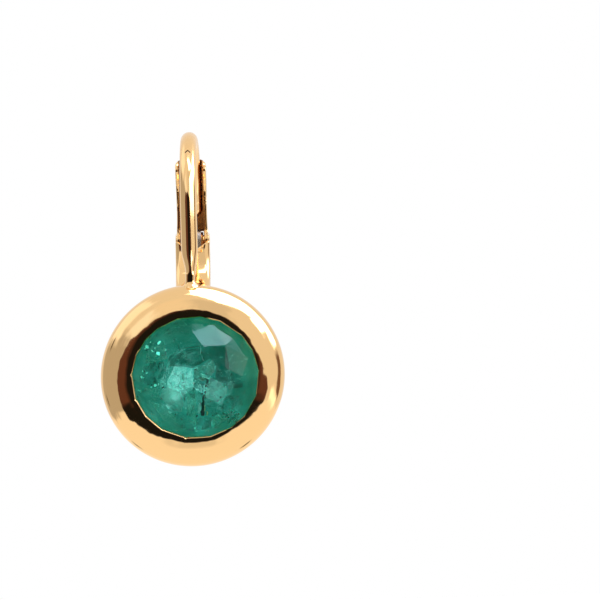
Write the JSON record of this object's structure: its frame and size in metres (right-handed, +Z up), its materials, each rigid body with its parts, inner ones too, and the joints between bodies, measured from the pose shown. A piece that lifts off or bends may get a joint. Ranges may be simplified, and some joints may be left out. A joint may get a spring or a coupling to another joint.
{
  "type": "emerald lever-back earring",
  "caption": "Drop earring with a round emerald in a domed gold bezel, hung from a wire hook that a hinged, sprung lever closes behind the lobe.",
  "frame": {"origin": "the seat: underside of the hook's arch, where it rests in the pierced lobe", "axes": "+Z up, the stone faces -Y, the hook bends back towards +Y, +X to the viewer's right"},
  "size_m": [0.01, 0.0094, 0.0183],
  "materials": {
    "gold": "yellow gold, mirror polished",
    "emerald": "clear deep green gemstone, polished facets",
    "spring_steel": "satin spring steel"
  },
  "bodies": {
    "root": {"setting": "gold", "emerald": "emerald", "hinge_pin": "gold", "hinge_spring": "spring_steel"},
    "lever": {"lever": "gold"}
  },
  "joints": [
    {"name": "lever_hinge", "type": "hinge", "parent": "root", "child": "lever", "pos_m": [0, 0.0035, -0.005], "axis": [-1, 0, 0], "range_deg": [0, 70], "stiffness_Nm_per_rad": 0.00001, "springref_deg": -11.46}
  ]
}
